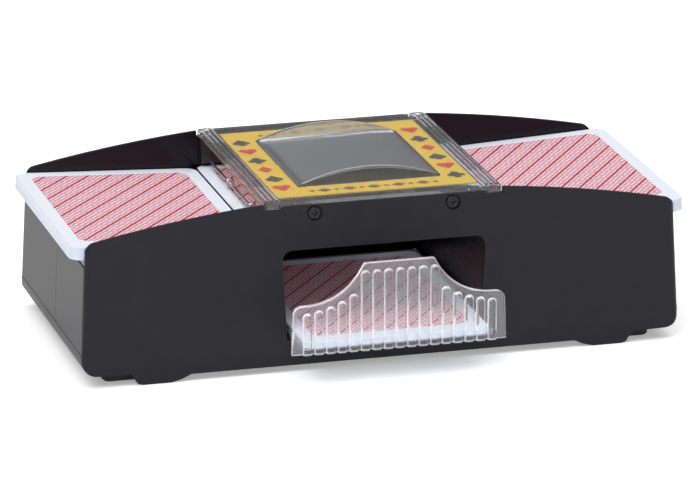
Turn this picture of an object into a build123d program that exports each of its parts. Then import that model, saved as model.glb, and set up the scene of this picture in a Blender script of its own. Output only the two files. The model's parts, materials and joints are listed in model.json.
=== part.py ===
from build123d import *
import math
import os

# Automatic card shuffler, in millimetres, +Z up. The front with the drawer faces -Y and the trays lie
# along X. Every piece is made about the middle of the housing, on the surface it stands on, and at the
# end moves back so that the origin is the middle of the whole object with its drawer out.

# Playing cards
card_width = 63.0
card_length = 88.0
card_corner = 3.5
deck_height = 4.2
drawer_deck_height = 1.8
card_thickness = 0.3
loose_card_x = -41.2

# Housing
half_length = 101.6
half_depth = 47.0
wall = 2.2
inside_y = 44.4
seam_z = 11.0
base_z = 2.4
end_top_z = 40.6
end_lean = 0.047
face_lean = 0.025
arch_radius = 480.0
arch_top_z = 58.95
arch_corner = 4.0
plan_corner = 2.5
shell_joint_y = -6.0
shell_joint_gap = 0.2
beyond = 120.0

# Base pan
base_half_length = 101.7
base_corner = 5.0
base_floor = 2.0
foot_rib_inner = 65.4
foot_rib_outer = 85.4
foot_rib_depth = 5.0
foot_rib_heel = (68.4, 1.0)
foot_rib_flat = (72.0, 81.5)
foot_rib_toe = (83.3, 0.6)
foot_rib_bottom = 0.1
end_rise = (1.5, 1.9)
inner_corner = (3.0, 5.0)
pad_x = (80.2, 93.4)
pad_y = (28.0, 41.0)
pad_corner = 2.5
pad_chamfer = 0.6
post_x = 93.5
post_y = 18.0
post_radius = 3.4
post_z = (5.0, 24.0)
post_bore_radius = 2.7
post_bore_top_z = 21.0
post_screw_radius = 1.4
drawer_rail_x = (25.0, 31.0)
drawer_gap = 0.3
cell_stop_x = (42.0, 72.0)
cell_stop_y = (27.6, 28.8)
cell_stop_top_z = 16.0
switch_stand_x = (86.5, 92.5)
switch_stand_half = 5.0
switch_stand_z = (5.9, 20.0)

# Drawer, shown pulled out by drawer_open
drawer_open = 16.1
opening_half_top = 34.6
opening_half_seam = 33.0
opening_top_z = 41.4
opening_corner = 3.5
drawer_half_width = 32.4
drawer_wall = 0.6
drawer_floor_z = 11.7
drawer_floor = 1.2
drawer_wall_top = 14.5
panel_inner_y = -63.4
panel_thickness = 1.6
panel_rim_radius = 0.6
panel_half_low = 36.2
panel_half_shoulder = 35.6
panel_shoulder_z = 28.1
panel_top_z = 41.1
panel_curve_radius = 21.4
panel_sweep_x = 31.6
panel_shoulder_round = 3.0
panel_top_round = 1.2
flute_pitch = 3.9
flute_radius = 1.55
flute_proud = 1.25
flute_tops = (38.9, 38.9, 38.9, 38.9, 31.2, 29.0, 27.6, 26.6, 25.9)

# Trays
tray_slope = 0.049
tray_z = 39.9
tray_plate = 2.0
deck_inner_x = 41.5
shaft_wall_x = (34.2, 36.2)
tray_outer_x = 99.9
tray_half_depth = 44.1
tray_lip_round = 1.0
tray_screw_radius = 1.2
tray_screw_z = (23.0, 33.0)
tyre_slot_half = (7.0, 7.5)
tyre_slot_z = (30.0, 50.0)
deck_gap = 0.4

# Card gate and retarder rods
gate_x = (36.4, 40.9)
gate_z = (41.0, 44.6)
gate_half_length = 45.2
gate_round = 0.8
gate_fit = 0.1
rod_x = 36.5
rod_z = 47.3
rod_radius = 0.5
ring_radius = 1.7
ring_half_width = 0.7
ring_round = 0.3
ring_y = 14.7

# Lid
lid_half_width = 40.2
lid_half_depth = 45.2
lid_z = (56.4, 57.6)
lid_clearance = 0.3
rail_x = 34.5
rail_z = 55.7
rail_half_depth = 46.0
rail_corner = 2.0
ridge_radius = 0.55
ridge_x = (35.6, 37.3, 39.0)
window_half_width = 24.4
window_y = (-28.5, 27.0)
vault_top_z = 62.6
vault_skin = 1.2
label_half_width = 34.3
label_half_depth = 39.2
label_thickness = 0.25
peg_x = 30.0
peg_y = 42.0
peg_radius = 1.0
peg_bottom_z = 53.4

# Rod brackets
bracket_inner_y = 41.9
bracket_half_length = 39.5
bracket_z = (46.3, 55.4)
block_x = (19.5, 34.0)
block_inner_y = 38.9
block_low_z = 49.0
bracket_screw_x = 23.4
bracket_screw_z = 53.5
screw_head_radius = 2.1
screw_head_height = 0.7
screw_shank_radius = 1.1
screw_shank_length = 5.0
screw_seat_y = 45.1
screw_recess_radius = 2.65

# Feed roller and gears
roller_x = 47.0
tyre_radius = 9.5
tyre_width = 14.0
tyre_y = 20.0
tyre_round = 0.8
core_radius = 6.5
core_half_length = 29.5
shaft_radius = 1.5
bush_radius = 3.0
bush_collar = (4.0, 0.8)
running_clearance = 0.05
gear_module = 0.5
roller_teeth = 24
idler_small_teeth = 12
idler_large_teeth = 40
pinion_teeth = 10
gear_width = 2.2
gear_planes = (35.8, 38.4, 41.2)
idler_pin_radius = 1.0
idler_pin_end_y = 43.9
idler_hub_radius = 2.2
tooth_height = (1.2, 0.85)
tooth_share = (0.34, 0.13)
plate_y = (32.2, 35.2)
plate_inner_x = 42.0
plate_foot_x = 80.0
plate_foot_z = 12.0
plate_beyond_motor = 8.0
bearing_y = (-36.0, -33.0)
bearing_outer_x = 52.0
bore_y = (30.0, 40.0)

# Motor and power
motor_width = 15.0
motor_height = 20.0
motor_length = 23.0
motor_cap = 2.0
motor_boss_radius = 3.0
motor_boss = 1.5
motor_bore = 8.0
motor_shaft_radius = 1.0
motor_shaft_inside = 6.0
cradle_half_width = 6.0
cradle_y = (13.0, 27.0)
cradle_z = (6.3, 18.0)
cell_radius = 7.1
cell_half_length = 24.6
cell_round = 0.6
cell_nub = (2.6, 1.3)
contact_y = (27.0, 27.6)
contact_z = (5.5, 15.5)
contact_half_width = 4.2
contact_link_x = (45.0, 68.7)
cell_x = (49.4, 64.3)
cell_z = 12.0
door_x = (42.3, 71.7)
door_half_depth = 26.2
door_clearance = 0.3
door_thickness = 1.8
door_groove_x = (50.0, 64.0)
door_groove_y = -22.0
door_groove_pitch = 1.6
door_groove_width = 0.7
door_groove_depth = 0.5
door_grooves = 4

# Run button
button_z = 26.0
button_face_x = 102.4
button_cap_half = (7.0, 4.5)
button_flange_half = (9.0, 6.5)
button_cap_back_x = 97.0
button_flange_x = (96.0, 97.2)
button_stem_x = (90.6, 96.5)
button_stem_radius = 2.0
button_rounds = (1.0, 0.5)
switch_x = (86.0, 93.0)
switch_half_width = 6.0
switch_z = (20.0, 32.0)
switch_socket_x = (88.4, 94.0)

# Screws
head_round = 0.35
cross_width = 0.6
cross_depth = 1.2
cross_share = 1.2
base_head_radius = 2.5
base_head_height = 1.6
base_shank_radius = 1.2
base_shank_length = 11.5
base_screw_z = 19.4


def block(x, y, z):
    """Box between two corners, given as (low, high) along each axis."""
    size = (x[1] - x[0], y[1] - y[0], z[1] - z[0])
    middle = ((x[0] + x[1]) / 2, (y[0] + y[1]) / 2, (z[0] + z[1]) / 2)
    return Pos(*middle) * Box(*size)


def rod_y(radius, x, y, z):
    """Round bar along Y."""
    return Pos(x, (y[0] + y[1]) / 2, z) * Rot(90, 0, 0) * Cylinder(radius, y[1] - y[0])


def rod_xaxis(radius, x, y, z):
    """Round bar along X."""
    return Pos((x[0] + x[1]) / 2, y, z) * Rot(0, 90, 0) * Cylinder(radius, x[1] - x[0])


def rod_up(radius, x, y, z):
    """Round bar along Z."""
    return Pos(x, y, (z[0] + z[1]) / 2) * Cylinder(radius, z[1] - z[0])


def along_y(outline, y):
    """Extrude an outline drawn in X and Z between two depths."""
    return extrude(Plane.XZ.offset(-y[1]) * outline, amount=y[1] - y[0])


def polygon(points):
    """Closed face through points."""
    return make_face(Polyline(*points, close=True))


def both_signs(points):
    """Mirror points in X, as the other half of a symmetric outline."""
    return points + [(-x, z) for x, z in reversed(points)]


def tray_surface(x):
    """Height of the tray's floor at a distance from the middle."""
    return tray_z + tray_slope * (x - deck_inner_x)


def mirrored(shape):
    """The same piece for the left side."""
    return mirror(shape, about=Plane.YZ)


def both_sides(pieces):
    """Small identical pieces of the right and left side as one group."""
    return Compound(pieces + [mirrored(piece) for piece in pieces])


# ---------------------------------------------------------------- housing

def housing_x(z):
    """Half length of the housing at a height: the end walls lean in."""
    return half_length - end_lean * (z - seam_z)


def housing_y(z):
    """Half depth of the housing at a height: front and rear lean in a little."""
    return half_depth - face_lean * (z - seam_z)


def leaning_block(low, high):
    sections = []
    for z in (low, high):
        plan = RectangleRounded(2 * housing_x(z), 2 * housing_y(z), plan_corner)
        sections.append(Plane.XY.offset(z) * plan)
    return loft(sections)


def arch_outline():
    high = arch_top_z + 1
    sides = polygon(both_signs([(housing_x(seam_z), seam_z), (housing_x(high), high)]))
    arch = sides & (Pos(0, arch_top_z - arch_radius) * Circle(arch_radius))
    return fillet(arch.vertices().sort_by(Axis.Y)[-2:], arch_corner)


def housing_hollow():
    low = seam_z - 1
    high = end_top_z + 1
    outline = polygon(both_signs([(housing_x(low) - wall, low), (housing_x(high) - wall, high)]))
    return along_y(outline, (-inside_y, inside_y))


def drawer_opening():
    outline = polygon([
        (-opening_half_seam, seam_z - 1),
        (opening_half_seam, seam_z - 1),
        (opening_half_top, opening_top_z),
        (-opening_half_top, opening_top_z),
    ])
    outline = fillet(outline.vertices().sort_by(Axis.Y)[-2:], opening_corner)
    return along_y(outline, (-half_depth - 1, -inside_y + 1))


def button_hole():
    half_width = button_cap_half[0] + lid_clearance
    half_height = button_cap_half[1] + lid_clearance
    y = (-half_width, half_width)
    return block((90, beyond), y, (button_z - half_height, button_z + half_height))


def lid_seat():
    """Room for the lid: a shallow step, deeper along the side rails."""
    half = lid_half_width + lid_clearance
    seat = block((-half, half), (-beyond, beyond), (lid_z[0] - 0.2, beyond))
    for side in (-1, 1):
        rail = sorted((side * (rail_x - lid_clearance), side * half))
        seat += block(rail, (-beyond, beyond), (rail_z - lid_clearance, beyond))
    return seat


def gate_pocket(side):
    gate = sorted((side * (gate_x[0] - gate_fit), side * (gate_x[1] + gate_fit)))
    half = gate_half_length + gate_fit
    return block(gate, (-half, half), (gate_z[0] - gate_fit, gate_z[1] + gate_fit))


def housing_shell():
    shell = leaning_block(seam_z, arch_top_z + 1)
    shell &= along_y(arch_outline(), (-half_depth - 1, half_depth + 1))
    shell -= housing_hollow()
    shell -= block((-beyond, beyond), (-inside_y, inside_y), (end_top_z, beyond))
    shell -= drawer_opening()
    shell -= button_hole()
    shell -= lid_seat()
    for side in (-1, 1):
        x = side * bracket_screw_x
        shell -= gate_pocket(side)
        shell -= rod_y(screw_shank_radius + 0.2, x, (-half_depth, half_depth), bracket_screw_z)
        shell -= rod_y(screw_recess_radius, x, (screw_seat_y, half_depth), bracket_screw_z)
        shell -= rod_y(screw_recess_radius, x, (-half_depth, -screw_seat_y), bracket_screw_z)
    return shell


def shell_halves():
    shell = housing_shell()
    whole = (-beyond, beyond)
    front = shell & block(whole, (-beyond, shell_joint_y - shell_joint_gap / 2), whole)
    rear = shell & block(whole, (shell_joint_y + shell_joint_gap / 2, beyond), whole)
    return front, rear


def base_outside():
    low = base_z
    outline = polygon(both_signs([
        (foot_rib_flat[1], low),
        (foot_rib_outer, low + end_rise[0]),
        (base_half_length, low + end_rise[1]),
        (base_half_length, seam_z),
    ]))
    ends = [v for v in outline.vertices() if abs(abs(v.X) - base_half_length) < 0.01 and v.Y < seam_z - 1]
    outline = fillet(ends, base_corner)
    plan = RectangleRounded(2 * base_half_length, 2 * half_depth, plan_corner)
    return along_y(outline, (-half_depth, half_depth)) & extrude(plan, amount=2 * seam_z)


def foot_rib_outline(side):
    """Moulded foot under the long edges: steep outside, gentle inside."""
    points = [
        (foot_rib_inner, base_z + 0.5),
        (foot_rib_inner, base_z),
        foot_rib_heel,
        (foot_rib_flat[0], foot_rib_bottom),
        (foot_rib_flat[1], foot_rib_bottom),
        foot_rib_toe,
        (foot_rib_outer, base_z + end_rise[0]),
        (foot_rib_outer - 1, base_z + 2),
    ]
    return polygon([(side * x, z) for x, z in points])


def base_hollow():
    inner = base_half_length - wall
    floor = base_z + base_floor
    outline = polygon(both_signs([
        (foot_rib_flat[1] - 0.5, floor),
        (foot_rib_outer - 0.9, floor + end_rise[0]),
        (inner - inner_corner[0], floor + end_rise[1]),
        (inner, floor + inner_corner[1]),
        (inner, seam_z + 1),
    ]))
    return along_y(outline, (-inside_y, inside_y))


def base_post(x, y):
    """Screw post that carries the tray, bored from below."""
    return rod_up(post_radius, x, y, post_z)


def base_pan(outside):
    pan = outside - base_hollow()
    floor = base_z + base_floor
    for side in (-1, 1):
        rail = sorted(side * x for x in drawer_rail_x)
        pan += block(rail, (-inside_y, inside_y), (floor, drawer_floor_z - drawer_gap))
        for end in (-1, 1):
            rib_y = sorted((end * half_depth, end * (half_depth - foot_rib_depth)))
            pan += along_y(foot_rib_outline(side), rib_y)
            stop_x = sorted(side * x for x in cell_stop_x)
            stop_y = sorted(end * y for y in cell_stop_y)
            pan += block(stop_x, stop_y, (floor, cell_stop_top_z))
            post = side * post_x
            pan += base_post(post, end * post_y)
            pan -= rod_up(post_bore_radius, post, end * post_y, (0, post_bore_top_z))
            pan -= rod_up(post_screw_radius, post, end * post_y, (post_bore_top_z - 1, post_z[1] + 1))
        hatch = sorted((side * (door_x[0] - door_clearance), side * (door_x[1] + door_clearance)))
        depth = door_half_depth + door_clearance
        pan -= block(hatch, (-depth, depth), (0, floor + 1))
    return pan + block(switch_stand_x, (-switch_stand_half, switch_stand_half), switch_stand_z)


def rubber_feet(outside):
    feet = []
    for side_x in (-1, 1):
        for side_y in (-1, 1):
            centre = Pos(side_x * sum(pad_x) / 2, side_y * sum(pad_y) / 2)
            plan = centre * RectangleRounded(pad_x[1] - pad_x[0], pad_y[1] - pad_y[0], pad_corner)
            pad = extrude(plan, amount=2 * base_z)
            pad = chamfer(pad.edges().group_by(Axis.Z)[0], pad_chamfer)
            feet.append(pad - outside)
    return Compound(feet)


# ---------------------------------------------------------------- drawer and cards

def panel_outline():
    """Front of the drawer: low shoulders that sweep up to a raised grip."""
    centre_z = panel_shoulder_z + panel_curve_radius
    top_x = panel_sweep_x - math.sqrt(panel_curve_radius ** 2 - (centre_z - panel_top_z) ** 2)
    middle = math.radians(225)
    bend = (
        panel_sweep_x + panel_curve_radius * math.cos(middle),
        centre_z + panel_curve_radius * math.sin(middle),
    )
    low = (panel_half_low, drawer_floor_z)
    corner = (panel_half_shoulder, panel_shoulder_z)
    start = (panel_sweep_x, panel_shoulder_z)
    end = (top_x, panel_top_z)
    half = Polyline((0, low[1]), low, corner, start)
    half += ThreePointArc(start, bend, end)
    half += Line(end, (0, panel_top_z))
    half += Line((0, panel_top_z), (0, low[1]))
    face = make_face(half)
    shoulder = [v for v in face.vertices() if abs(v.X - corner[0]) < 0.01 and v.Y > low[1] + 1]
    face = fillet(shoulder, panel_shoulder_round)
    crest = [v for v in face.vertices() if abs(v.X - top_x) < 0.01 and v.Y > panel_shoulder_z + 1]
    face = fillet(crest, panel_top_round)
    return face + mirrored(face)


def flute(x, top):
    """Half-round rib with a rounded top on the face of the panel."""
    face_y = panel_inner_y - panel_thickness
    rib = rod_up(flute_radius, x, face_y, (drawer_floor_z, top - flute_radius))
    rib += Pos(x, face_y, top - flute_radius) * Sphere(flute_radius)
    side = (x - flute_pitch, x + flute_pitch)
    front = block(side, (face_y - flute_proud, face_y + panel_thickness / 2), (0, beyond))
    return rib & front


def card_drawer():
    back_y = inside_y - drawer_gap - drawer_open
    floor_top = drawer_floor_z + drawer_floor
    front_y = panel_inner_y
    x = (-drawer_half_width, drawer_half_width)
    drawer = block(x, (front_y, back_y), (drawer_floor_z, floor_top))
    for side in (-1, 1):
        edge = sorted((side * drawer_half_width, side * (drawer_half_width - drawer_wall)))
        drawer += block(edge, (front_y, back_y), (drawer_floor_z, drawer_wall_top))
    drawer += block(x, (back_y - drawer_wall, back_y), (drawer_floor_z, drawer_wall_top))
    panel = along_y(panel_outline(), (panel_inner_y - panel_thickness, panel_inner_y))
    front = panel.faces().sort_by(Axis.Y)[0]
    rim = [edge for edge in front.edges() if edge.center().Z > drawer_floor_z + 1]
    drawer += fillet(rim, panel_rim_radius)
    for number, top in enumerate(flute_tops):
        rib = flute(number * flute_pitch, top)
        drawer += rib
        if number > 0:
            drawer += mirrored(rib)
    return drawer


def card_pile(height):
    """Pile of cards with its lowest face centred on the origin."""
    return extrude(RectangleRounded(card_width, card_length, card_corner), amount=height)


def drawer_cards():
    front = panel_inner_y + drawer_gap
    lowest = drawer_floor_z + drawer_floor + drawer_gap
    return Pos(0, front + card_length / 2, lowest) * card_pile(drawer_deck_height)


def deck():
    """Pile lying on the sloping tray, its inner edge against the card gate."""
    tilt = math.degrees(math.atan(tray_slope))
    pile = Pos(card_width / 2, 0, 0) * card_pile(deck_height)
    corner = Pos(deck_inner_x, 0, tray_surface(deck_inner_x) + deck_gap)
    return corner * Rot(0, -tilt, 0) * pile


def fed_card():
    """Single card lying across the left gate, its outer edge beside the pile it came from."""
    middle = loose_card_x + card_width / 2
    return Pos(middle, 0, gate_z[1] + drawer_gap) * card_pile(card_thickness)


# ---------------------------------------------------------------- trays and gates

def tray():
    """Sloping floor with the wall of the card shaft under its inner edge."""
    inner, outer = shaft_wall_x
    outline = polygon([
        (inner, drawer_wall_top + 0.5),
        (outer, drawer_wall_top + 0.5),
        (outer, tray_surface(outer) - tray_plate),
        (tray_outer_x, tray_surface(tray_outer_x) - tray_plate),
        (tray_outer_x, tray_surface(tray_outer_x)),
        (inner, tray_surface(inner)),
    ])
    lip = [v for v in outline.vertices() if abs(v.X - inner) < 0.01 and v.Y > drawer_wall_top + 1]
    piece = along_y(fillet(lip, tray_lip_round), (-tray_half_depth, tray_half_depth))
    half_x, half_y = tyre_slot_half
    for y in (-tyre_y, tyre_y):
        piece -= block((roller_x - half_x, roller_x + half_x), (y - half_y, y + half_y), tyre_slot_z)
    boss_z = (post_z[1], tray_surface(post_x) - tray_plate / 2)
    for y in (-post_y, post_y):
        piece += rod_up(post_radius, post_x, y, boss_z)
        piece -= rod_up(tray_screw_radius, post_x, y, tray_screw_z)
    return piece


def card_gate():
    bar = block(gate_x, (-gate_half_length, gate_half_length), gate_z)
    return fillet(bar.edges().filter_by(Axis.Y).group_by(Axis.Z)[0], gate_round)


def retarder_rod():
    return rod_y(rod_radius, rod_x, (-inside_y + 0.1, inside_y - 0.1), rod_z)


def retarder_rings():
    rings = []
    for y in (-ring_y, ring_y):
        ring = rod_y(ring_radius, rod_x, (y - ring_half_width, y + ring_half_width), rod_z)
        ring = fillet(ring.edges(), ring_round)
        rings.append(ring - rod_y(rod_radius, rod_x, (y - 1, y + 1), rod_z))
    return Compound(rings)


def rod_bracket():
    """Strip inside the rear wall that holds the rods and the lid's pegs."""
    strip = block((-bracket_half_length, bracket_half_length), (bracket_inner_y, inside_y), bracket_z)
    through = (block_inner_y - 1, inside_y + 1)
    for side in (-1, 1):
        x = sorted((side * block_x[0], side * block_x[1]))
        strip += block(x, (block_inner_y, inside_y), (block_low_z, bracket_z[1]))
        socket = (peg_bottom_z - 0.5, beyond)
        strip -= rod_up(peg_radius + running_clearance, side * peg_x, peg_y, socket)
        strip -= rod_y(rod_radius, side * rod_x, through, rod_z)
        strip -= rod_y(screw_shank_radius, side * bracket_screw_x, through, bracket_screw_z)
    return strip


# ---------------------------------------------------------------- lid

def vault(inset):
    """Barrel over the window, drawn smaller by inset."""
    half = window_half_width - inset
    top = vault_top_z - inset
    low = lid_z[0] - 1.0
    spring = lid_z[1]
    arc = ThreePointArc((-half, spring), (0, top), (half, spring))
    rest = Polyline((half, spring), (half, low), (-half, low), (-half, spring))
    y = (window_y[0] + inset, window_y[1] - inset)
    return along_y(make_face(arc + rest), y)


def side_rail(side):
    """Thick band along a side of the lid, with rounded ends and fine ridges on top."""
    x = sorted((side * rail_x, side * lid_half_width))
    plan = Pos(sum(x) / 2, 0) * RectangleRounded(x[1] - x[0], 2 * rail_half_depth, rail_corner)
    rail = extrude(Plane.XY.offset(rail_z) * plan, amount=lid_z[1] - rail_z)
    ends = (-rail_half_depth + rail_corner + 0.5, rail_half_depth - rail_corner - 0.5)
    for ridge in ridge_x:
        rail += rod_y(ridge_radius, side * ridge, ends, lid_z[1])
    return rail


def clear_lid():
    half = rail_x + 1.0
    plate = block((-half, half), (-lid_half_depth, lid_half_depth), lid_z)
    for side in (-1, 1):
        plate += side_rail(side)
        for y in (-peg_y, peg_y):
            plate += rod_up(peg_radius, side * peg_x, y, (peg_bottom_z, lid_z[0] + 0.2))
    plate += vault(0) & block((-beyond, beyond), (-beyond, beyond), (lid_z[0], beyond))
    return plate - vault(vault_skin)


def lid_label():
    """Printed film under the lid, clear smoke grey across the window."""
    x = (-label_half_width, label_half_width)
    y = (-label_half_depth, label_half_depth)
    return block(x, y, (lid_z[0] - label_thickness, lid_z[0]))


# ---------------------------------------------------------------- feed drive

roller_z = tray_surface(roller_x) + 0.1 - tyre_radius


def gear_radius(teeth):
    return teeth * gear_module / 2


def step(start, distance, angle):
    """Point at a distance and an angle from another, in X and Z."""
    turn = math.radians(angle)
    return (start[0] + distance * math.cos(turn), start[1] + distance * math.sin(turn))


idler_two_angle = -30.0
idler_one_angle = -8.0
motor_angle = -2.0
roller_centre = (roller_x, roller_z)
idler_two_centre = step(
    roller_centre, gear_radius(roller_teeth + idler_small_teeth), idler_two_angle
)
idler_one_centre = step(
    idler_two_centre, gear_radius(idler_large_teeth + idler_small_teeth), idler_one_angle
)
motor_centre = step(
    idler_one_centre, gear_radius(idler_large_teeth + pinion_teeth), motor_angle
)


def meshed_turn(teeth, turn, other_teeth, direction):
    """Tooth angle of the next gear so that its gap meets a tooth of this one."""
    phase = teeth * (direction - turn)
    return direction + 180 - (180 - phase) / other_teeth


def tooth_points(teeth, centre, turn):
    """Corners of straight-sided teeth, thinned a little for backlash."""
    pitch = gear_radius(teeth)
    root = pitch - tooth_height[0] * gear_module
    tip = pitch + tooth_height[1] * gear_module
    share = 360 / teeth
    wide, narrow = tooth_share
    corners = ((root, -wide), (tip, -narrow), (tip, narrow), (root, wide))
    points = []
    for tooth in range(teeth):
        for radius, part in corners:
            points.append(step(centre, radius, turn + share * (tooth + part)))
    return points


def gear(teeth, centre, turn, y, bore):
    wheel = along_y(polygon(tooth_points(teeth, centre, turn)), (y, y + gear_width))
    return wheel - rod_y(bore, centre[0], (y - 1, y + gear_width + 1), centre[1])


def idler(centre, large_turn, small_turn, planes):
    """Large and small gear on one hub."""
    bore = idler_pin_radius + running_clearance
    low, high = planes
    wheel = gear(idler_small_teeth, centre, small_turn, low, bore)
    wheel += gear(idler_large_teeth, centre, large_turn, high, bore)
    hub = rod_y(idler_hub_radius, centre[0], (low + gear_width, high), centre[1])
    return wheel + (hub - rod_y(bore, centre[0], (low, high + 1), centre[1]))


roller_turn = 0.0
idler_two_small_turn = meshed_turn(roller_teeth, roller_turn, idler_small_teeth, idler_two_angle)
idler_two_large_turn = 0.0
idler_one_small_turn = meshed_turn(
    idler_large_teeth, idler_two_large_turn, idler_small_teeth, idler_one_angle
)
idler_one_large_turn = 0.0
pinion_turn = meshed_turn(idler_large_teeth, idler_one_large_turn, pinion_teeth, motor_angle)


def roller_core():
    core = rod_y(core_radius, roller_x, (-core_half_length, core_half_length), roller_z)
    return core - rod_y(shaft_radius, roller_x, (-beyond, beyond), roller_z)


def roller_tyres():
    tyres = []
    for y in (-tyre_y, tyre_y):
        ends = (y - tyre_width / 2, y + tyre_width / 2)
        tyre = fillet(rod_y(tyre_radius, roller_x, ends, roller_z).edges(), tyre_round)
        tyres.append(tyre - rod_y(core_radius, roller_x, (-beyond, beyond), roller_z))
    return Compound(tyres)


def roller_shaft():
    return rod_y(shaft_radius, roller_x, (bearing_y[0] - 0.2, gear_planes[0] + gear_width), roller_z)


def roller_gear():
    return gear(roller_teeth, roller_centre, roller_turn, gear_planes[0], shaft_radius)


def roller_bushes():
    """Two flanged bushes, their collars towards the roller."""
    radius, collar = bush_collar
    bore = rod_y(shaft_radius + running_clearance, roller_x, (-beyond, beyond), roller_z)
    rear = rod_y(bush_radius, roller_x, plate_y, roller_z)
    rear += rod_y(radius, roller_x, (plate_y[0] - collar, plate_y[0]), roller_z)
    front = rod_y(bush_radius, roller_x, bearing_y, roller_z)
    front += rod_y(radius, roller_x, (bearing_y[1], bearing_y[1] + collar), roller_z)
    return [rear - bore, front - bore]


def gear_plate():
    """Upright plate that carries the bush, the idler pins and the motor."""
    floor = base_z + base_floor
    right = motor_centre[0] + plate_beyond_motor
    outline = polygon([
        (plate_inner_x, floor),
        (plate_foot_x, floor),
        (plate_foot_x, plate_foot_z),
        (right, plate_foot_z),
        (right, tray_surface(right) - tray_plate),
        (plate_inner_x, tray_surface(plate_inner_x) - tray_plate),
    ])
    plate = along_y(outline, plate_y)
    plate -= rod_y(bush_radius, roller_x, bore_y, roller_z)
    for x, z in (idler_two_centre, idler_one_centre):
        plate -= rod_y(idler_pin_radius, x, bore_y, z)
    return plate - rod_y(motor_boss_radius, motor_centre[0], bore_y, motor_centre[1])


def bearing_plate():
    floor = base_z + base_floor
    outline = polygon([
        (plate_inner_x, floor),
        (bearing_outer_x, floor),
        (bearing_outer_x, tray_surface(bearing_outer_x) - tray_plate),
        (plate_inner_x, tray_surface(plate_inner_x) - tray_plate),
    ])
    return along_y(outline, bearing_y) - rod_y(bush_radius, roller_x, (-beyond, 0), roller_z)


def idler_pins():
    pins = []
    for x, z in (idler_two_centre, idler_one_centre):
        pins.append(rod_y(idler_pin_radius, x, (plate_y[0], idler_pin_end_y), z))
    return pins


def motor_profile():
    """Round can with two flat sides."""
    round_can = Pos(*motor_centre) * Circle(motor_height / 2)
    return round_can & (Pos(*motor_centre) * Rectangle(motor_width, motor_height))


def motor_can():
    x, z = motor_centre
    can = along_y(motor_profile(), (plate_y[0] - motor_length, plate_y[0]))
    can += rod_y(motor_boss_radius, x, (plate_y[0], plate_y[0] + motor_boss), z)
    return can - rod_y(shaft_radius, x, (plate_y[0] - motor_bore, bore_y[1]), z)


def motor_end_cap():
    back = plate_y[0] - motor_length
    return along_y(motor_profile(), (back - motor_cap, back))


def motor_shaft():
    x, z = motor_centre
    ends = (plate_y[0] - motor_shaft_inside, gear_planes[2] + gear_width)
    return rod_y(motor_shaft_radius, x, ends, z)


def motor_pinion():
    return gear(pinion_teeth, motor_centre, pinion_turn, gear_planes[2], motor_shaft_radius)


def motor_cradle():
    x = motor_centre[0]
    cradle = block((x - cradle_half_width, x + cradle_half_width), cradle_y, cradle_z)
    return cradle - along_y(motor_profile(), (0, bore_y[0]))


# ---------------------------------------------------------------- power

def cells():
    pair = []
    for x, way in zip(cell_x, (1, -1)):
        cell = rod_y(cell_radius, x, (-cell_half_length, cell_half_length), cell_z)
        cell = fillet(cell.edges(), cell_round)
        radius, height = cell_nub
        nub = sorted((way * cell_half_length, way * (cell_half_length + height)))
        pair.append(cell + rod_y(radius, x, nub, cell_z))
    return Compound(pair)


def battery_contacts():
    """One linking plate at the back, two separate plates at the front."""
    plates = [block(contact_link_x, contact_y, contact_z)]
    front_y = (-contact_y[1], -contact_y[0])
    for x in cell_x:
        plates.append(block((x - contact_half_width, x + contact_half_width), front_y, contact_z))
    return plates


def battery_door():
    """Flush hatch with finger grooves near its front end."""
    door = block(door_x, (-door_half_depth, door_half_depth), (base_z, base_z + door_thickness))
    for groove in range(door_grooves):
        y = door_groove_y + door_groove_pitch * groove
        depth = (base_z - 1, base_z + door_groove_depth)
        door -= block(door_groove_x, (y, y + door_groove_width), depth)
    return door


def switch_body():
    body = block(switch_x, (-switch_half_width, switch_half_width), switch_z)
    return body - rod_xaxis(button_stem_radius + running_clearance, switch_socket_x, 0, button_z)


def run_button():
    half_y, half_z = button_cap_half
    x = (button_cap_back_x, button_face_x)
    cap = block(x, (-half_y, half_y), (button_z - half_z, button_z + half_z))
    cap = fillet(cap.edges().filter_by(Axis.X), button_rounds[0])
    cap = fillet(cap.faces().sort_by(Axis.X)[-1].edges(), button_rounds[1])
    half_y, half_z = button_flange_half
    cap += block(button_flange_x, (-half_y, half_y), (button_z - half_z, button_z + half_z))
    return cap + rod_xaxis(button_stem_radius, button_stem_x, 0, button_z)


# ---------------------------------------------------------------- fasteners

def cross_head_screw(head_radius, head_height, shank_radius, shank_length):
    """Screw with its head's top on the origin, pointing down."""
    head = Pos(0, 0, -head_height / 2) * Cylinder(head_radius, head_height)
    head = fillet(head.edges().group_by(Axis.Z)[-1], head_round)
    shank = Pos(0, 0, -head_height - shank_length / 2) * Cylinder(shank_radius, shank_length)
    reach = head_radius * cross_share
    recess = Box(reach, cross_width, cross_depth) + Box(cross_width, reach, cross_depth)
    return head + shank - recess


def bracket_screws(side):
    """The two screws in the rear wall, or in the front wall when side is -1."""
    screws = []
    for x in (-bracket_screw_x, bracket_screw_x):
        screw = cross_head_screw(
            screw_head_radius, screw_head_height, screw_shank_radius, screw_shank_length
        )
        head_top = side * (screw_seat_y + screw_head_height)
        screws.append(Pos(x, head_top, bracket_screw_z) * Rot(-90 * side, 0, 0) * screw)
    return Compound(screws)


def base_screws():
    screws = []
    for x in (-post_x, post_x):
        for y in (-post_y, post_y):
            screw = cross_head_screw(
                base_head_radius, base_head_height, base_shank_radius, base_shank_length
            )
            screws.append(Pos(x, y, base_screw_z) * Rot(180, 0, 0) * screw)
    return Compound(screws)


# ---------------------------------------------------------------- all the nodes

front_shell, rear_shell = shell_halves()
base_solid = base_outside()
rear_bracket = rod_bracket()

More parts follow.
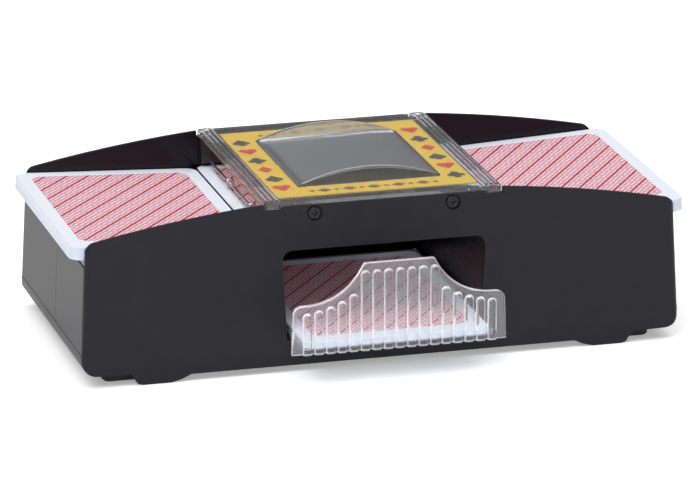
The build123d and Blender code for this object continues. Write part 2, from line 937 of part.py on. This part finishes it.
nodes = {
    "front_shell": front_shell,
    "rear_shell": rear_shell,
    "base_pan": base_pan(base_solid),
    "rubber_feet": rubber_feet(base_solid),
    "front_rod_bracket": mirror(rear_bracket, about=Plane.XZ),
    "rear_rod_bracket": rear_bracket,
    "front_screws": bracket_screws(-1),
    "rear_screws": bracket_screws(1),
    "base_screws": base_screws(),
    "card_drawer": card_drawer(),
    "drawer_cards": drawer_cards(),
    "fed_card": fed_card(),
    "clear_lid": clear_lid(),
    "lid_label": lid_label(),
    "run_button": run_button(),
    "switch_body": switch_body(),
    "roller_bushes": both_sides(roller_bushes()),
    "idler_pins": both_sides(idler_pins()),
    "battery_contacts": both_sides(battery_contacts()),
}

right_side = {
    "tray": tray(),
    "card_gate": card_gate(),
    "retarder_rod": retarder_rod(),
    "retarder_rings": retarder_rings(),
    "deck": deck(),
    "feed_roller": roller_core(),
    "roller_tyres": roller_tyres(),
    "roller_shaft": roller_shaft(),
    "roller_gear": roller_gear(),
    "bearing_plate": bearing_plate(),
    "gear_plate": gear_plate(),
    "inner_idler": idler(
        idler_two_centre, idler_two_large_turn, idler_two_small_turn, gear_planes[0:2]
    ),
    "outer_idler": idler(
        idler_one_centre, idler_one_large_turn, idler_one_small_turn, gear_planes[1:3]
    ),
    "motor_can": motor_can(),
    "motor_end_cap": motor_end_cap(),
    "motor_cradle": motor_cradle(),
    "motor_shaft": motor_shaft(),
    "motor_pinion": motor_pinion(),
    "cells": cells(),
    "battery_door": battery_door(),
}
for name, piece in right_side.items():
    nodes["right_" + name] = piece
    nodes["left_" + name] = mirrored(piece)

front_y = panel_inner_y - panel_thickness - flute_proud
to_middle = Pos(0, -(front_y + half_depth) / 2, 0)

os.makedirs("parts", exist_ok=True)
for name, piece in nodes.items():
    export_step(to_middle * piece, "parts/" + name + ".step")
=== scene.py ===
import json
import math
import random

import bmesh
import bpy
from mathutils import Matrix, Vector


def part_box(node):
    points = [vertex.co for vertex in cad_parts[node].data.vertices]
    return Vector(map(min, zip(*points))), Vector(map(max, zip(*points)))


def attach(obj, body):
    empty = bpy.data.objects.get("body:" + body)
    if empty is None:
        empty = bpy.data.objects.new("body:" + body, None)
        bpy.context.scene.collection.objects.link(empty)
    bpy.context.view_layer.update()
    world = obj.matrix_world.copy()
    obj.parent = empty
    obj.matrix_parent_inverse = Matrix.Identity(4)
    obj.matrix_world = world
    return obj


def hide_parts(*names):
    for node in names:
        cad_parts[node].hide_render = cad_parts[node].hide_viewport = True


MM = 0.001

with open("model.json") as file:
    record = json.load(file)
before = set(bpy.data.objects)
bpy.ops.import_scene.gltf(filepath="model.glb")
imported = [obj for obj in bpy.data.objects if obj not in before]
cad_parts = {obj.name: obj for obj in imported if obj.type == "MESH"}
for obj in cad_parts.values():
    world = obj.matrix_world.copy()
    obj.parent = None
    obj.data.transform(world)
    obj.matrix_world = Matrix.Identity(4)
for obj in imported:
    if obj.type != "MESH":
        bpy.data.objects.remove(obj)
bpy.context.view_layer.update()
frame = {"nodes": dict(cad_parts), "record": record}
cad = frame["nodes"]

# ---------------------------------------------------------------- camera

AZIMUTH = math.radians(15.48)
ELEVATION = math.radians(17.75)
DISTANCE = 1.8822
LENS = 288.3
HOUSING_Y = (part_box("front_shell")[0].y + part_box("rear_shell")[1].y) / 2
AIM = Vector((0.0, HOUSING_Y, 0.011))
SHIFT = (0.0049, 0.0573)


def add_camera():
    """Camera at the photograph's viewing angle, aimed at the middle of the housing."""
    ahead = Vector((
        math.sin(AZIMUTH) * math.cos(ELEVATION),
        math.cos(AZIMUTH) * math.cos(ELEVATION),
        -math.sin(ELEVATION),
    ))
    data = bpy.data.cameras.new("camera")
    data.sensor_width = 36.0
    data.lens = LENS
    data.shift_x, data.shift_y = SHIFT
    data.clip_end = 50.0
    camera = bpy.data.objects.new("camera", data)
    camera.location = AIM - ahead * DISTANCE
    camera.rotation_euler = ahead.to_track_quat("-Z", "Y").to_euler()
    bpy.context.scene.collection.objects.link(camera)
    bpy.context.scene.camera = camera


# ---------------------------------------------------------------- shader helpers

NOISE_ROUGHNESS = 0.55


class Shader:
    """A material with its principled shader and short calls for adding nodes."""

    def __init__(self, name, roughness=0.5, metallic=0.0, colour=(0.5, 0.5, 0.5)):
        self.material = bpy.data.materials.new(name)
        self.material.use_nodes = True
        self.tree = self.material.node_tree
        self.main = self.tree.nodes["Principled BSDF"]
        self.set("Base Color", (*colour, 1.0))
        self.set("Roughness", roughness)
        self.set("Metallic", metallic)

    def set(self, socket, value):
        if isinstance(value, bpy.types.NodeSocket):
            self.tree.links.new(value, self.main.inputs[socket])
        else:
            self.main.inputs[socket].default_value = value

    def node(self, kind, inputs=None, **settings):
        node = self.tree.nodes.new("ShaderNode" + kind)
        for key, value in settings.items():
            setattr(node, key, value)
        for key, value in (inputs or {}).items():
            if isinstance(value, bpy.types.NodeSocket):
                self.tree.links.new(value, node.inputs[key])
            else:
                node.inputs[key].default_value = value
        return node

    def math(self, operation, first, second=0.0):
        return self.node("Math", {0: first, 1: second}, operation=operation).outputs[0]

    def place(self):
        """Position in the object's own coordinates."""
        return self.node("TexCoord").outputs["Object"]

    def facing(self):
        """Direction that the surface faces."""
        return self.node("NewGeometry").outputs["Normal"]

    def axes(self, vector):
        return self.node("SeparateXYZ", {0: vector}).outputs

    def noise(self, scale, detail=3.0, vector=None):
        inputs = {
            "Vector": vector or self.place(),
            "Scale": scale,
            "Detail": detail,
            "Roughness": NOISE_ROUGHNESS,
        }
        return self.node("TexNoise", inputs).outputs["Fac"]

    def range(self, value, low, high, start=0.0, end=1.0):
        inputs = {0: value, 1: low, 2: high, 3: start, 4: end}
        return self.node("MapRange", inputs).outputs[0]

    def mix(self, share, first, second):
        """Colour between first and second."""
        node = self.node("Mix", data_type="RGBA")
        for index, value in ((0, share), (6, first), (7, second)):
            if isinstance(value, bpy.types.NodeSocket):
                self.tree.links.new(value, node.inputs[index])
            elif index == 0:
                node.inputs[index].default_value = value
            else:
                node.inputs[index].default_value = (*value, 1.0)
        return node.outputs[2]

    def bump(self, height, distance, strength):
        inputs = {"Height": height, "Distance": distance, "Strength": strength}
        self.set("Normal", self.node("Bump", inputs).outputs[0])

    def pass_lamps(self, tint):
        """Let light from the lamps through to what is behind."""
        path = self.node("LightPath").outputs["Is Shadow Ray"]
        through = self.node("BsdfTransparent", {0: (*tint, 1.0)}).outputs[0]
        mixed = self.node("MixShader", {0: path, 1: self.main.outputs[0], 2: through}).outputs[0]
        output = self.tree.nodes["Material Output"]
        self.tree.links.new(mixed, output.inputs["Surface"])

    def stripe(self, position, pitch, width):
        """1 within width of each multiple of pitch, else 0, with a soft edge."""
        phase = self.math("PINGPONG", position, pitch / 2)
        return self.range(phase, width * 0.5, width * 0.35)


# ---------------------------------------------------------------- materials

# Inside of the housing's walls, from its middle
INNER_HALF_X = 97.0 * MM
INNER_HALF_Y = 44.5 * MM

# The label's window, and the lid's vault over it
WINDOW_HALF_X = 24.4 * MM
WINDOW_FRONT = HOUSING_Y - 28.5 * MM
WINDOW_BACK = HOUSING_Y + 27.0 * MM
VAULT_MIDDLE = (WINDOW_FRONT + WINDOW_BACK) / 2
VAULT_HALF = (WINDOW_BACK - WINDOW_FRONT) / 2
VAULT_FOOT = 57.9 * MM
VAULT_FADE = 0.4 * MM
VAULT_ARC = 0.9 * MM

# Clear plastic
PLASTIC_IOR = 1.47
PANEL_DEPTH = 2.9 * MM
SOFT_EDGE = 0.1 * MM

# Parts of the drive and the cells
TYRE_GROOVE = 0.9 * MM
SLEEVE_HALF = 24.0 * MM
COPPER_FROM = 12.0 * MM
SCALE_ALONG_GRAIN = 60.0
SCALE_ACROSS_GRAIN = 2500.0


def housing_plastic():
    """Charcoal plastic: moulded grain outside, smoother on the ends and inside the walls, with
    painted shade inside the walls.
    """
    s = Shader("charcoal_plastic")
    x, y, _ = s.axes(s.place())
    from_side = s.math("ABSOLUTE", s.math("SUBTRACT", y, HOUSING_Y))
    inside = s.math(
        "MULTIPLY",
        s.math("LESS_THAN", from_side, INNER_HALF_Y),
        s.math("LESS_THAN", s.math("ABSOLUTE", x), INNER_HALF_X),
    )
    mottle = s.noise(140.0, 4.0)
    outer = s.mix(mottle, (0.0085, 0.0082, 0.0125), (0.0120, 0.0116, 0.0165))
    # Inside the walls the colour is darker and more purple than outside: painted shade.
    s.set("Base Color", s.mix(inside, outer, (0.006, 0.003, 0.0065)))
    rough = s.range(s.noise(900.0, 2.0), 0.3, 0.7, 0.44, 0.56)
    sideways = s.math("ABSOLUTE", s.axes(s.facing())[0])
    outer_rough = s.range(sideways, 0.85, 0.95, rough, 0.41)
    s.set("Roughness", s.range(inside, 0.0, 1.0, outer_rough, 0.2))
    s.set("Specular IOR Level", 0.22)
    grain = s.math("MULTIPLY", s.noise(2600.0, 2.0), s.range(inside, 0.0, 1.0, 1.0, 0.1))
    s.bump(grain, 0.00006, 0.5)
    return s.material


def inner_plastic():
    s = Shader("inner_plastic")
    s.set("Base Color", s.mix(s.noise(160.0), (0.010, 0.009, 0.011), (0.016, 0.014, 0.017)))
    s.set("Roughness", s.range(s.noise(500.0), 0.3, 0.7, 0.24, 0.36))
    s.bump(s.noise(2200.0, 2.0), 0.00004, 0.3)
    return s.material


def rubber():
    s = Shader("foot_rubber")
    s.set("Base Color", s.mix(s.noise(400.0), (0.012, 0.012, 0.012), (0.026, 0.026, 0.026)))
    s.set("Roughness", s.range(s.noise(1500.0), 0.3, 0.7, 0.75, 0.92))
    s.bump(s.noise(3500.0, 3.0), 0.00008, 0.6)
    return s.material


def tyre_rubber():
    """Grey rubber with fine grooves round the tyre."""
    s = Shader("tyre_rubber")
    y = s.axes(s.place())[1]
    grooves = s.math("SINE", s.math("MULTIPLY", y, 2 * math.pi / TYRE_GROOVE))
    s.set("Base Color", s.mix(s.noise(700.0), (0.05, 0.05, 0.052), (0.085, 0.085, 0.088)))
    s.set("Roughness", 0.8)
    s.bump(s.math("ADD", grooves, s.noise(3000.0)), 0.00005, 0.6)
    return s.material


def black_screw():
    s = Shader("black_screw", metallic=1.0)
    s.set("Base Color", s.mix(s.noise(1800.0), (0.018, 0.018, 0.02), (0.05, 0.05, 0.052)))
    s.set("Roughness", s.range(s.noise(2500.0), 0.3, 0.7, 0.3, 0.5))
    s.bump(s.noise(5000.0), 0.00003, 0.4)
    return s.material


def bright_steel(name, base, grain_axis):
    """Steel with drawing lines along one axis."""
    s = Shader(name, metallic=1.0)
    stretch = [SCALE_ACROSS_GRAIN] * 3
    stretch[grain_axis] = SCALE_ALONG_GRAIN
    place = s.node("Mapping", {"Vector": s.place(), "Scale": stretch}).outputs[0]
    lines = s.noise(1.0, 3.0, place)
    darker = tuple(0.8 * value for value in base)
    s.set("Base Color", s.mix(lines, darker, base))
    s.set("Roughness", s.range(lines, 0.3, 0.7, 0.18, 0.3))
    s.bump(lines, 0.00002, 0.3)
    return s.material


def nylon():
    s = Shader("nylon")
    s.set("Base Color", s.mix(s.noise(300.0), (0.66, 0.66, 0.6), (0.76, 0.76, 0.7)))
    s.set("Roughness", s.range(s.noise(900.0), 0.3, 0.7, 0.36, 0.48))
    s.set("Subsurface Weight", 0.1)
    s.set("Subsurface Scale", 0.002)
    s.bump(s.noise(2500.0), 0.00003, 0.3)
    return s.material


def brass():
    s = Shader("brass", metallic=1.0)
    s.set("Base Color", s.mix(s.noise(900.0), (0.6, 0.43, 0.16), (0.74, 0.56, 0.25)))
    s.set("Roughness", s.range(s.noise(1600.0), 0.3, 0.7, 0.2, 0.36))
    return s.material


def cell_sleeve():
    """Dark sleeve with a copper band at one end and bare metal ends."""
    s = Shader("cell_sleeve")
    y = s.axes(s.place())[1]
    near_end = s.math("GREATER_THAN", s.math("ABSOLUTE", y), SLEEVE_HALF)
    band = s.math("GREATER_THAN", y, COPPER_FROM)
    sleeve = s.mix(band, (0.012, 0.022, 0.06), (0.5, 0.26, 0.12))
    s.set("Base Color", s.mix(near_end, sleeve, (0.68, 0.68, 0.66)))
    s.set("Metallic", s.range(near_end, 0.0, 1.0, 0.2, 1.0))
    s.set("Roughness", s.range(s.noise(800.0), 0.3, 0.7, 0.2, 0.3))
    return s.material


def satin_black(name):
    s = Shader(name)
    s.set("Base Color", s.mix(s.noise(500.0), (0.012, 0.012, 0.013), (0.022, 0.022, 0.024)))
    s.set("Roughness", s.range(s.noise(1200.0), 0.3, 0.7, 0.28, 0.4))
    s.bump(s.noise(2800.0), 0.00004, 0.3)
    return s.material


def clear_plastic(name, tint, roughness, haze):
    """Clear moulding with a little milkiness, haze being the share of light that it scatters."""
    s = Shader(name, roughness, colour=tint)
    s.set("Transmission Weight", 1.0 - haze)
    s.set("IOR", PLASTIC_IOR)
    place = s.place()
    s.set("Roughness", s.range(s.noise(700.0, 3.0, place), 0.35, 0.75, roughness, roughness + 0.05))
    s.bump(s.noise(300.0, 2.0, place), 0.00004, 0.25)
    s.pass_lamps((0.9, 0.92, 0.94))
    return s


def lid_plastic():
    """Clear lid whose raised vault has a milkier top, which is painted reflection, and milkier arcs
    at its two ends, which are painted highlight.
    """
    s = clear_plastic("lid_plastic", (0.92, 0.94, 0.97), 0.02, 0.015)
    _, y, z = s.axes(s.place())
    upward = s.axes(s.facing())[2]
    # Painted reflection on the vault's top faces and painted highlight on its end arcs, made by
    # lowering the transmission there.
    raised = s.range(z, VAULT_FOOT, VAULT_FOOT + VAULT_FADE)
    top = s.math("MULTIPLY", raised, s.range(s.math("ABSOLUTE", upward), 0.5, 0.8))
    from_middle = s.math("ABSOLUTE", s.math("SUBTRACT", y, VAULT_MIDDLE))
    arc_start = VAULT_HALF - VAULT_ARC
    arc = s.math("MULTIPLY", top, s.range(from_middle, arc_start, arc_start + 2 * SOFT_EDGE))
    painted_sheen = s.range(top, 0.0, 1.0, 0.985, 0.94)
    s.set("Transmission Weight", s.range(arc, 0.0, 1.0, painted_sheen, 0.55))
    return s.material


def drawer_plastic():
    """Clear drawer; the rounded flanks of its flutes and the rim of its panel are made milkier as
    painted highlight.
    """
    s = clear_plastic("drawer_plastic", (0.95, 0.96, 0.98), 0.04, 0.05)
    y = s.axes(s.place())[1]
    ahead = s.axes(s.facing())[1]
    # Faces of the front panel that turn away from the front are made milkier: painted highlight.
    flank = s.range(s.math("ABSOLUTE", ahead), 0.75, 0.45)
    panel_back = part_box("card_drawer")[0].y + PANEL_DEPTH
    panel = s.range(y, panel_back + SOFT_EDGE, panel_back - SOFT_EDGE)
    painted_sheen = s.math("MULTIPLY", flank, panel)
    s.set("Transmission Weight", s.range(painted_sheen, 0.0, 1.0, 0.95, 0.6))
    return s.material


def window_shade_sheet():
    """Dark see-through sheet in the middle of the label: painted shade that stands in for the dark
    inside under the window.
    """
    s = Shader("window_shade_sheet", 0.3)
    s.set("Base Color", s.mix(s.noise(300.0), (0.010, 0.010, 0.012), (0.016, 0.016, 0.018)))
    s.set("Alpha", 0.94)
    s.set("Specular IOR Level", 0.15)
    s.set("Roughness", s.range(s.noise(900.0), 0.3, 0.7, 0.3, 0.4))
    return s.material


# The printed back of a card, in millimetres: plain borders, a lattice in each cell of the diagonal
# rules, and rows of dashes
SIDE_BORDER = 4.6
END_BORDER = 6.2
CUT_CORNER = 2.2
PRINT_SHIFT = 1.2
RULE_X = 7.6
RULE_Y = 10.0
RULE_PARTS = 4
DASH_ROW = 2.5
DASH_PITCH = 1.9


def card_stock():
    """White border round a red lattice with darker diagonal lines, laid out on each card, and painted
    shade on the card edges.
    """
    s = Shader("cards", roughness=0.32)
    u, v, _ = s.axes(s.node("UVMap", uv_map="card").outputs[0])
    x = s.math("MULTIPLY", u, CARD_WIDTH / MM)
    y = s.math("MULTIPLY", v, CARD_LENGTH / MM)
    half_x, half_y = CARD_WIDTH / MM / 2, CARD_LENGTH / MM / 2
    from_side = s.math("SUBTRACT", half_x, s.math("ABSOLUTE", s.math("SUBTRACT", x, half_x)))
    along = s.math("ABSOLUTE", s.math("SUBTRACT", y, half_y + PRINT_SHIFT))
    from_end = s.math("SUBTRACT", half_y, along)
    side_room = s.math("SUBTRACT", from_side, SIDE_BORDER)
    end_room = s.math("SUBTRACT", from_end, END_BORDER)
    corner_room = s.math("SUBTRACT", s.math("ADD", side_room, end_room), CUT_CORNER)
    room = s.math("MINIMUM", s.math("MINIMUM", side_room, end_room), corner_room)
    field = s.range(room, 0.0, 0.15)
    across, down = s.math("DIVIDE", x, RULE_X), s.math("DIVIDE", y, RULE_Y)
    rising = s.math("SUBTRACT", across, down)
    falling = s.math("ADD", across, down)
    rule = s.stripe(rising, 1.0, 0.18)
    cell = 1 / RULE_PARTS
    lattice = s.math("MAXIMUM", s.stripe(rising, cell, 0.07), s.stripe(falling, cell, 0.07))
    row = s.stripe(y, DASH_ROW, 1.1)
    slanted = s.math("ADD", x, s.math("MULTIPLY", y, 0.5))
    dash = s.math("MULTIPLY", row, s.stripe(slanted, DASH_PITCH, 0.8))
    paper = (0.78, 0.82, 0.90)
    ground = s.mix(lattice, (0.84, 0.74, 0.80), (0.62, 0.08, 0.15))
    ground = s.mix(s.math("MULTIPLY", dash, 0.5), ground, (0.16, 0.08, 0.13))
    ground = s.mix(s.math("MULTIPLY", rule, 0.95), ground, (0.46, 0.004, 0.02))
    # Card edges that face sideways are coloured darker and bluer than the paper: painted shade.
    upward = s.axes(s.facing())[2]
    flat = s.range(s.math("ABSOLUTE", upward), 0.4, 0.6)
    face = s.mix(field, paper, ground)
    s.set("Base Color", s.mix(flat, (0.60, 0.65, 0.76), face))
    s.set("Roughness", s.range(s.noise(1200.0), 0.3, 0.7, 0.26, 0.38))
    s.bump(s.noise(3000.0, 2.0), 0.00001, 0.4)
    return s.material


def printed(name, colour, other):
    """Print that varies a little between two colours."""
    s = Shader(name)
    s.set("Base Color", s.mix(s.noise(250.0), colour, other))
    s.set("Roughness", s.range(s.noise(900.0), 0.3, 0.7, 0.3, 0.42))
    s.bump(s.noise(1800.0, 2.0), 0.00002, 0.3)
    return s.material


# ---------------------------------------------------------------- mesh helpers

def new_object(name, bm, material, body):
    """Turn a bmesh into a piece that rides on a body."""
    bmesh.ops.recalc_face_normals(bm, faces=bm.faces)
    mesh = bpy.data.meshes.new(name)
    bm.to_mesh(mesh)
    bm.free()
    mesh.materials.append(material)
    obj = bpy.data.objects.new(name, mesh)
    bpy.context.scene.collection.objects.link(obj)
    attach(obj, body)
    return obj


def rounded_rectangle(width, length, corner, steps=8):
    """Outline about the origin, anticlockwise."""
    points = []
    for quarter in range(4):
        sign_x = (1, -1, -1, 1)[quarter]
        sign_y = (1, 1, -1, -1)[quarter]
        for step in range(steps + 1):
            turn = math.radians(90 * (quarter + step / steps))
            points.append((
                sign_x * (width / 2 - corner) + corner * math.cos(turn),
                sign_y * (length / 2 - corner) + corner * math.sin(turn),
            ))
    return points


def add_prism(bm, outline, low, high, move=Matrix.Identity(4)):
    """Closed prism over an outline; returns its upper face."""
    lower = [bm.verts.new(move @ Vector((x, y, low))) for x, y in outline]
    upper = [bm.verts.new(move @ Vector((x, y, high))) for x, y in outline]
    bm.faces.new(list(reversed(lower)))
    top = bm.faces.new(upper)
    for index, vertex in enumerate(lower):
        following = (index + 1) % len(lower)
        bm.faces.new((vertex, lower[following], upper[following], upper[index]))
    return top


# ---------------------------------------------------------------- cards

CARD_WIDTH = 63.0 * MM
CARD_LENGTH = 88.0 * MM
CARD_CORNER = 3.5 * MM
CARD_TRIM = 0.15 * MM
CARD_THICKNESS = 0.3 * MM
CARD_FILL = 0.93
TRAY_SLOPE = 0.049


def card_pile(name, node, body, tilt, material, drift, seed):
    """Separate cards, each a little out of line, in the space of the CAD pile."""
    low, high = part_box(node)
    middle = (low + high) / 2
    reach = abs(math.sin(tilt)) * CARD_WIDTH
    height = (high.z - low.z - reach) / math.cos(tilt)
    count = max(1, round(height / CARD_THICKNESS))
    each = height / count
    turn = Matrix.Translation(middle) @ Matrix.Rotation(tilt, 4, "Y")
    outline = rounded_rectangle(CARD_WIDTH - 2 * CARD_TRIM, CARD_LENGTH - 2 * CARD_TRIM, CARD_CORNER)
    random.seed(seed)
    bm = bmesh.new()
    uv = bm.loops.layers.uv.new("card")
    for number in range(count):
        offset = Vector((random.uniform(-drift, drift), random.uniform(-drift, drift), 0.0))
        place = turn @ Matrix.Translation(offset)
        bottom = -height / 2 + number * each
        top = add_prism(bm, outline, bottom, bottom + each * CARD_FILL, place)
        for loop, (x, y) in zip(top.loops, outline):
            loop[uv].uv = (x / CARD_WIDTH + 0.5, y / CARD_LENGTH + 0.5)
    pile = new_object(name, bm, material, body)
    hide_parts(node)


# ---------------------------------------------------------------- label artwork

def star_outline(circles, polygons, steps=60):
    """Outline of a shape that is star-shaped about the origin, from circles and polygons."""
    points = []
    for step in range(steps):
        turn = 2 * math.pi * step / steps
        ray = Vector((math.cos(turn), math.sin(turn)))
        reach = 0.0
        for x, y, radius in circles:
            along = ray.x * x + ray.y * y
            inside = along * along - (x * x + y * y - radius * radius)
            if inside > 0:
                reach = max(reach, along + math.sqrt(inside))
        for polygon in polygons:
            for index, start in enumerate(polygon):
                a = Vector(start)
                b = Vector(polygon[(index + 1) % len(polygon)])
                side = b - a
                across = ray.cross(side)
                if abs(across) < 1e-9:
                    continue
                distance = a.cross(side) / across
                share = a.cross(ray) / across
                if distance > 0 and -1e-6 <= share <= 1 + 1e-6:
                    reach = max(reach, distance)
        points.append((ray.x * reach, ray.y * reach))
    return points


STEM = [(-0.1, 0.2), (0.1, 0.2), (0.34, -1.0), (-0.34, -1.0)]
SUITS = {
    "heart": ([(-0.4, 0.35, 0.47), (0.4, 0.35, 0.47)], [[(-0.8, 0.12), (0, -1.0), (0.8, 0.12)]]),
    "spade": ([(-0.4, -0.2, 0.44), (0.4, -0.2, 0.44)], [[(-0.78, 0.0), (0.78, 0.0), (0, 1.0)], STEM]),
    "club": ([(0, 0.5, 0.42), (-0.44, -0.12, 0.42), (0.44, -0.12, 0.42)], [STEM]),
    "diamond": ([], [[(-0.72, 0), (0, -1.0), (0.72, 0), (0, 1.0)]]),
    "lozenge": ([], [[(-1.0, 0), (0, -0.8), (1.0, 0), (0, 0.8)]]),
    "dot": ([(0, 0, 1.0)], []),
}

# Label layout
INK = 0.02 * MM
SUIT_X = 29.6 * MM
SUIT_BACK = HOUSING_Y + 26.5 * MM
SUIT_PITCH = 10.9 * MM
SUIT_HALF = 3.6 * MM
ORNAMENT_Y = (HOUSING_Y - 33.9 * MM, HOUSING_Y + 33.2 * MM)
ORNAMENT_PITCH = 4.2 * MM
ORNAMENT_HALF = {"dot": 0.9 * MM, "lozenge": 2.5 * MM}
OUTLINE = 0.35 * MM
SHADE_SHEET_THICKNESS = 0.15 * MM
LEFT_SUITS = ("spade", "heart", "club", "diamond", "spade", "heart")
RIGHT_SUITS = ("heart", "club", "diamond", "spade", "heart", "club")
RED_SUITS = ("heart", "diamond")


def print_shape(bm, kind, x, y, z, half):
    """A suit or ornament printed flat at a place."""
    outline = [(x + half * px, y + half * py) for px, py in star_outline(*SUITS[kind])]
    add_prism(bm, outline, z, z + INK)


def frame_prism(bm, outer, inner, low, high):
    """Rectangular ring; outer and inner are (x0, x1, y0, y1)."""
    def corners(box, z):
        x0, x1, y0, y1 = box
        return [bm.verts.new((x, y, z)) for x, y in ((x0, y0), (x1, y0), (x1, y1), (x0, y1))]

    rings = [corners(outer, low), corners(inner, low), corners(inner, high), corners(outer, high)]
    for first, second in zip(rings, rings[1:] + rings[:1]):
        for index in range(4):
            following = (index + 1) % 4
            bm.faces.new((first[index], first[following], second[following], second[index]))


def label():
    """Yellow frame with suits down its sides, and a dark sheet of painted shade across its window."""
    low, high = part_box("lid_label")
    top = high.z - 1.5 * INK
    window = (-WINDOW_HALF_X, WINDOW_HALF_X, WINDOW_FRONT, WINDOW_BACK)
    outer = (low.x, high.x, low.y, high.y)
    sheet = bmesh.new()
    frame_prism(sheet, outer, window, low.z, top)
    yellow = printed("label_yellow", (0.74, 0.46, 0.008), (0.80, 0.52, 0.014))
    sheet = new_object("label_sheet", sheet, yellow, "lid")
    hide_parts("lid_label")
    # The dark sheet across the window is painted shade for the inside under it.
    shade_sheet = bmesh.new()
    x0, x1, y0, y1 = window
    corners = [(x0, y0), (x1, y0), (x1, y1), (x0, y1)]
    add_prism(shade_sheet, corners, low.z, low.z + SHADE_SHEET_THICKNESS)
    shade_sheet = new_object("label_window", shade_sheet, window_shade_sheet(), "lid")
    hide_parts("lid_label")
    red, black = bmesh.new(), bmesh.new()
    for side, suits in ((-1, LEFT_SUITS), (1, RIGHT_SUITS)):
        for number, kind in enumerate(suits):
            ink = red if kind in RED_SUITS else black
            print_shape(ink, kind, side * SUIT_X, SUIT_BACK - SUIT_PITCH * number, top, SUIT_HALF)
    ornament = bmesh.new()
    for y in ORNAMENT_Y:
        for number in range(-5, 6):
            kind = "dot" if number % 2 else "lozenge"
            print_shape(ornament, kind, number * ORNAMENT_PITCH, y, top, ORNAMENT_HALF[kind])
    inset = (low.x + OUTLINE, high.x - OUTLINE, low.y + OUTLINE, high.y - OUTLINE)
    frame_prism(black, outer, inset, top, top + INK)
    ink = printed("ink_black", (0.012, 0.012, 0.014), (0.02, 0.02, 0.022))
    new_object("label_black_suits", black, ink, "lid")
    red_ink = printed("ink_red", (0.55, 0.006, 0.003), (0.62, 0.012, 0.006))
    new_object("label_red_suits", red, red_ink, "lid")
    brown = printed("ink_brown", (0.06, 0.035, 0.012), (0.09, 0.05, 0.02))
    new_object("label_ornament", ornament, brown, "lid")


# ---------------------------------------------------------------- floor and light

LIGHT_TARGET = Vector((0.0, 0.0, 0.03))
SKY_LOW = 0.16
SKY_HIGH = 0.8
SKY_CLIMB = (0.35, 0.9)
FLOOR_SIZE = 8.0


def area_light(name, place, size, power):
    """Soft light that points at the object."""
    data = bpy.data.lights.new(name, "AREA")
    data.shape = "RECTANGLE"
    data.size, data.size_y = size
    data.energy = power
    light = bpy.data.objects.new(name, data)
    light.location = place
    aim = LIGHT_TARGET - Vector(place)
    light.rotation_euler = aim.to_track_quat("-Z", "Y").to_euler()
    bpy.context.scene.collection.objects.link(light)


def sky(tree):
    """Plain pale surroundings, dimmer near the horizon."""
    background = tree.nodes["Background"]
    background.inputs["Color"].default_value = (1.0, 1.0, 1.0, 1.0)
    place = tree.nodes.new("ShaderNodeTexCoord")
    split = tree.nodes.new("ShaderNodeSeparateXYZ")
    climb = tree.nodes.new("ShaderNodeMapRange")
    tree.links.new(place.outputs["Generated"], split.inputs[0])
    tree.links.new(split.outputs[2], climb.inputs[0])
    for index, value in enumerate((*SKY_CLIMB, SKY_LOW, SKY_HIGH), 1):
        climb.inputs[index].default_value = value
    tree.links.new(climb.outputs[0], background.inputs["Strength"])


def studio():
    """White floor under a wide soft light from above, one from the left and a low one in front."""
    scene = bpy.context.scene
    scene.view_settings.view_transform = "Standard"
    world = bpy.data.worlds.new("studio")
    world.use_nodes = True
    sky(world.node_tree)
    scene.world = world
    bpy.ops.mesh.primitive_plane_add(size=FLOOR_SIZE, location=(0, 0, 0))
    floor = bpy.context.object
    floor.name = "floor"
    s = Shader("floor_paper", roughness=0.9)
    s.set("Base Color", s.mix(s.noise(4.0), (0.93, 0.93, 0.93), (0.95, 0.95, 0.95)))
    s.set("Specular IOR Level", 0.0)
    s.set("Emission Color", (1.0, 1.0, 1.0, 1.0))
    s.set("Emission Strength", 0.3)
    floor.data.materials.append(s.material)
    area_light("key", (-0.8, -0.7, 1.5), (1.2, 1.2), 16.0)
    area_light("top", (0.4, 0.3, 1.9), (1.6, 1.6), 14.0)
    area_light("front", (-0.1, -1.6, 0.42), (0.9, 0.4), 5.0)


# ---------------------------------------------------------------- build

def paint(node, material):
    """Give a CAD node one material all over."""
    mesh = cad[node].data
    mesh.materials.clear()
    mesh.materials.append(material)
    for face in mesh.polygons:
        face.material_index = 0


def paint_all():
    """Paint every CAD node by its material slot; the label's and the cards' nodes are replaced."""
    by_slot = {
        "charcoal_plastic": housing_plastic(),
        "inner_plastic": inner_plastic(),
        "foot_rubber": rubber(),
        "black_screw": black_screw(),
        "steel": bright_steel("bright_wire", (0.8, 0.8, 0.82), 1),
        "clear_plastic": drawer_plastic(),
        "tyre_rubber": tyre_rubber(),
        "nylon": nylon(),
        "motor_steel": bright_steel("motor_steel", (0.62, 0.62, 0.64), 1),
        "brass": brass(),
        "cell_sleeve": cell_sleeve(),
        "contact_plate": bright_steel("contact_plate", (0.78, 0.76, 0.72), 2),
        "switch_plastic": satin_black("switch_plastic"),
        "button_plastic": satin_black("button_plastic"),
    }
    for part in frame["record"]["subparts"]:
        if part["material_slot"] in by_slot:
            paint(part["node"], by_slot[part["material_slot"]])
    # Only the lid has the vault that its plastic is marked by
    paint("clear_lid", lid_plastic())


add_camera()
studio()
paint_all()
cards = card_stock()
tilt = math.atan(TRAY_SLOPE)
card_pile("left_cards", "left_deck", "left_pile", tilt, cards, drift=0.10 * MM, seed=3)
card_pile("right_cards", "right_deck", "right_pile", -tilt, cards, drift=0.10 * MM, seed=7)
card_pile("shuffled_cards", "drawer_cards", "drawer_pile", 0.0, cards, drift=0.12 * MM, seed=11)
card_pile("loose_card_sheet", "fed_card", "loose_card", 0.0, cards, drift=0.0, seed=13)
label()
